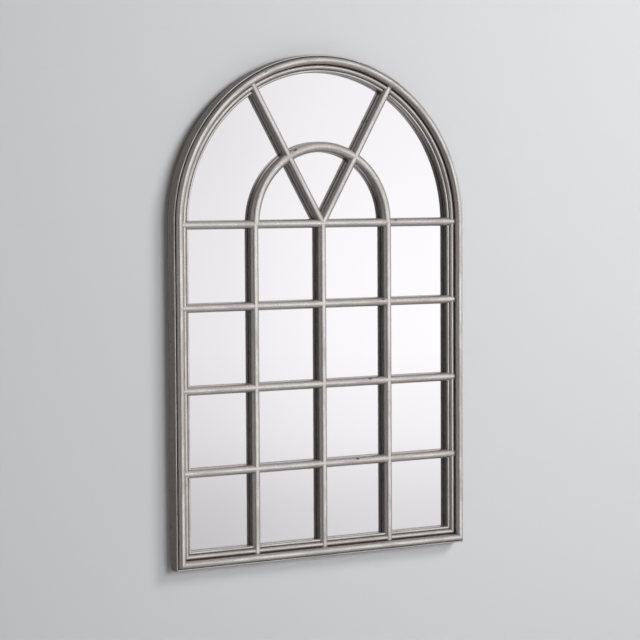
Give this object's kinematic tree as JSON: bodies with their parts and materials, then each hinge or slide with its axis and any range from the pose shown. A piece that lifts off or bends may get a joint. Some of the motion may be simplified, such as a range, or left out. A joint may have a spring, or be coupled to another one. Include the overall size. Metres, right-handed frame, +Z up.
{
  "type": "arched window mirror",
  "caption": "Wall mirror shaped like an arched window: moulded silver frame, glazing bars in front of one sheet of mirror, swinging hanger rings behind.",
  "frame": {"origin": "on the wall plane, on the mirror's centre line, level with the point where the wall hooks bear in the raised hanger rings", "axes": "-Y out of the wall towards the viewer, +X to the viewer's right, +Z up"},
  "size_m": [0.8, 0.047, 1.2],
  "materials": {
    "silver_leaf": "moulded wood under rubbed warm silver leaf, brown-black in the grooves",
    "mirror_glass": "clear silvered sheet",
    "hardboard": "smooth brown hardboard",
    "beech": "fluted beech dowel",
    "zinc_steel": "bright zinc plate",
    "bright_steel": "nickel plate",
    "brass_screws": "yellow zinc",
    "bumper_felt": "matt dark pad"
  },
  "bodies": {
    "frame": {"left_stile": "silver_leaf", "right_stile": "silver_leaf", "bottom_rail": "silver_leaf", "arch_left": "silver_leaf", "arch_right": "silver_leaf", "glazing_bar_1": "silver_leaf", "glazing_bar_2": "silver_leaf", "glazing_bar_3": "silver_leaf", "spring_bar": "silver_leaf", "cross_bar_1": "silver_leaf", "cross_bar_2": "silver_leaf", "cross_bar_3": "silver_leaf", "inner_arch": "silver_leaf", "ray_left": "silver_leaf", "ray_right": "silver_leaf", "mirror_glass": "mirror_glass", "backing_board": "hardboard", "board_screws": "brass_screws", "frame_dowels": "beech", "joint_plate_left": "zinc_steel", "joint_plate_right": "zinc_steel", "joint_plate_crown": "zinc_steel", "corner_brace_left": "zinc_steel", "corner_brace_right": "zinc_steel", "plate_screws": "bright_steel", "hanger_strap_left": "zinc_steel", "hanger_strap_right": "zinc_steel", "hanger_screws": "bright_steel", "wall_bumpers": "bumper_felt"},
    "ring_left": {"hanger_ring_left": "bright_steel"},
    "ring_right": {"hanger_ring_right": "bright_steel"}
  },
  "joints": [
    {"name": "ring_left_swing", "type": "hinge", "parent": "frame", "child": "ring_left", "pos_m": [-0.3865, -0.0036, -0.0171], "axis": [1, 0, 0], "range_deg": [0, 180]},
    {"name": "ring_right_swing", "type": "hinge", "parent": "frame", "child": "ring_right", "pos_m": [0.3865, -0.0036, -0.0171], "axis": [1, 0, 0], "range_deg": [0, 180]}
  ]
}
